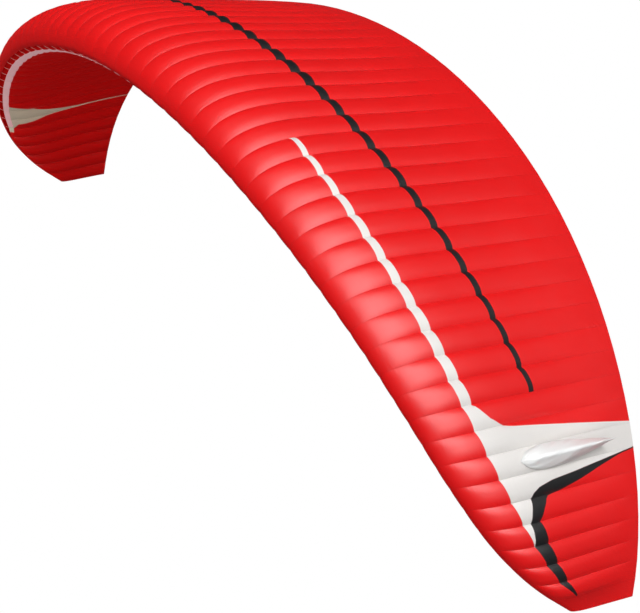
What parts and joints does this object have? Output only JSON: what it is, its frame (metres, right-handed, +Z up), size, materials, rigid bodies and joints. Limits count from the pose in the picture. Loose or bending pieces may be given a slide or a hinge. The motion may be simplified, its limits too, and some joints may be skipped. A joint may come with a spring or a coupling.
{
  "type": "paraglider wing",
  "caption": "Inflated ram-air paraglider wing in its flying arc, with air intakes under the nose, bulged cells and a small inflated fin near each tip.",
  "frame": {"origin": "on the lower sail in the middle of the span, 30 percent of the chord behind the nose, where the lines pull", "axes": "+X along the span towards the right tip, -Y the flight direction, so that the trailing edge faces +Y, +Z up"},
  "size_m": [9.1396, 2.7283, 3.3085],
  "materials": {
    "red_sail": "satin",
    "dark_red_sail": "satin",
    "pale_cloth": "satin",
    "white_cloth": "satin"
  },
  "bodies": {
    "root": {"upper_sail_middle": "red_sail", "upper_sail_right": "red_sail", "upper_sail_left": "red_sail", "lower_sail_middle": "dark_red_sail", "lower_sail_right": "dark_red_sail", "lower_sail_left": "dark_red_sail", "intake_band_middle": "pale_cloth", "intake_band_right": "pale_cloth", "intake_band_left": "pale_cloth", "cell_walls": "pale_cloth", "fin_right": "white_cloth", "fin_left": "white_cloth"}
  },
  "joints": []
}
